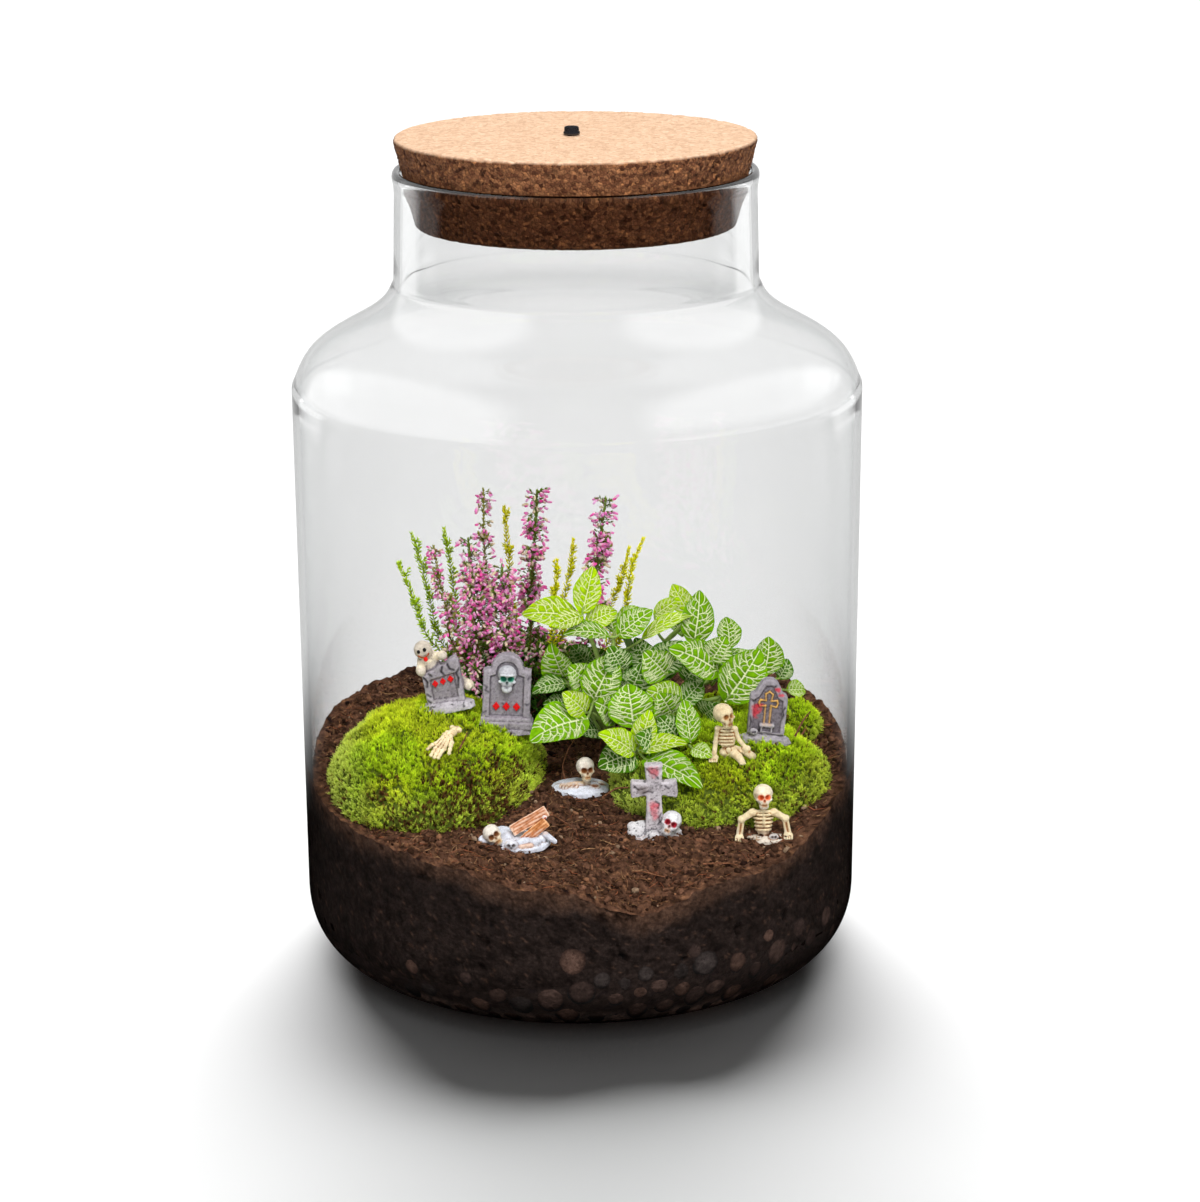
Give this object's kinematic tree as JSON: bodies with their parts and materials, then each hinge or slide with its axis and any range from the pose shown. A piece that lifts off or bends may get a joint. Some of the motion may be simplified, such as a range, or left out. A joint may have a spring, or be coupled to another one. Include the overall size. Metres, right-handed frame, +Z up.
{
  "type": "glass plant terrarium",
  "caption": "Closed bottle garden in a wide-mouthed glass jar with a cork lid, planted with heather, a nerve plant and moss among small resin graveyard figures.",
  "frame": {"origin": "centre of the jar's flat underside, on the surface it stands on", "axes": "+Z up through the lid, -Y towards the front where the figures face, +X to the right seen from the front"},
  "size_m": [0.25, 0.25, 0.3704],
  "materials": {
    "clear_glass": "clear blown glass, faint green in the thick base and rim",
    "cork": "agglomerated cork, sanded top, coarse brown granules on the sides",
    "black_plastic": "glossy black",
    "lamp_plastic": "matt black",
    "frosted_lens": "frosted white",
    "potting_soil": "dark brown fibrous peat soil, matt",
    "baked_clay": "rough baked clay, matt, damp",
    "moss": "short dense moss, yellow-green tips over deep green",
    "heather_foliage": "fine scale leaves, dark green to lime at the tips",
    "heather_bloom": "small pink bell flowers with white bases on reddish stems",
    "nerve_stem": "soft green stems",
    "nerve_leaf": "green leaf with a network of white veins, slight sheen",
    "bone_resin": "cast resin painted bone yellow with a brown wash",
    "white_resin": "cast resin painted white-grey, with an orange painted coffin lid",
    "stone_resin": "cast resin painted stone grey with dark washes and red and gold accents"
  },
  "bodies": {
    "root": {"bone_hand": "bone_resin", "clay_pebble_layer": "baked_clay", "cork_lid": "cork", "cross_tombstone": "stone_resin", "ghost_tombstone": "stone_resin", "gilt_cross_tombstone": "stone_resin", "glass_jar": "clear_glass", "ground_skull": "bone_resin", "heather_spike_01": "heather_foliage", "heather_spike_02": "heather_foliage", "heather_spike_03": "heather_bloom", "heather_spike_04": "heather_foliage", "heather_spike_05": "heather_bloom", "heather_spike_06": "heather_bloom", "heather_spike_07": "heather_foliage", "heather_spike_08": "heather_bloom", "heather_spike_09": "heather_bloom", "heather_spike_10": "heather_foliage", "heather_spike_11": "heather_foliage", "heather_spike_12": "heather_bloom", "heather_spike_13": "heather_foliage", "heather_spike_14": "heather_foliage", "heather_stems": "heather_foliage", "lamp_housing": "lamp_plastic", "lamp_lens": "frosted_lens", "lid_button": "black_plastic", "moss_mound_left": "moss", "moss_mound_right": "moss", "moss_tuft_back": "moss", "nerve_leaf_01": "nerve_leaf", "nerve_leaf_02": "nerve_leaf", "nerve_leaf_03": "nerve_leaf", "nerve_leaf_04": "nerve_leaf", "nerve_leaf_05": "nerve_leaf", "nerve_leaf_06": "nerve_leaf", "nerve_leaf_07": "nerve_leaf", "nerve_leaf_08": "nerve_leaf", "nerve_leaf_09": "nerve_leaf", "nerve_leaf_10": "nerve_leaf", "nerve_leaf_11": "nerve_leaf", "nerve_leaf_12": "nerve_leaf", "nerve_leaf_13": "nerve_leaf", "nerve_leaf_14": "nerve_leaf", "nerve_leaf_15": "nerve_leaf", "nerve_leaf_16": "nerve_leaf", "nerve_leaf_17": "nerve_leaf", "nerve_leaf_18": "nerve_leaf", "nerve_leaf_19": "nerve_leaf", "nerve_leaf_20": "nerve_leaf", "nerve_leaf_21": "nerve_leaf", "nerve_leaf_22": "nerve_leaf", "nerve_leaf_23": "nerve_leaf", "nerve_leaf_24": "nerve_leaf", "nerve_plant_stems": "nerve_stem", "open_grave": "white_resin", "rising_skeleton": "bone_resin", "sitting_skeleton": "bone_resin", "skull_tombstone": "stone_resin", "soil_bed": "potting_soil"}
  },
  "joints": []
}
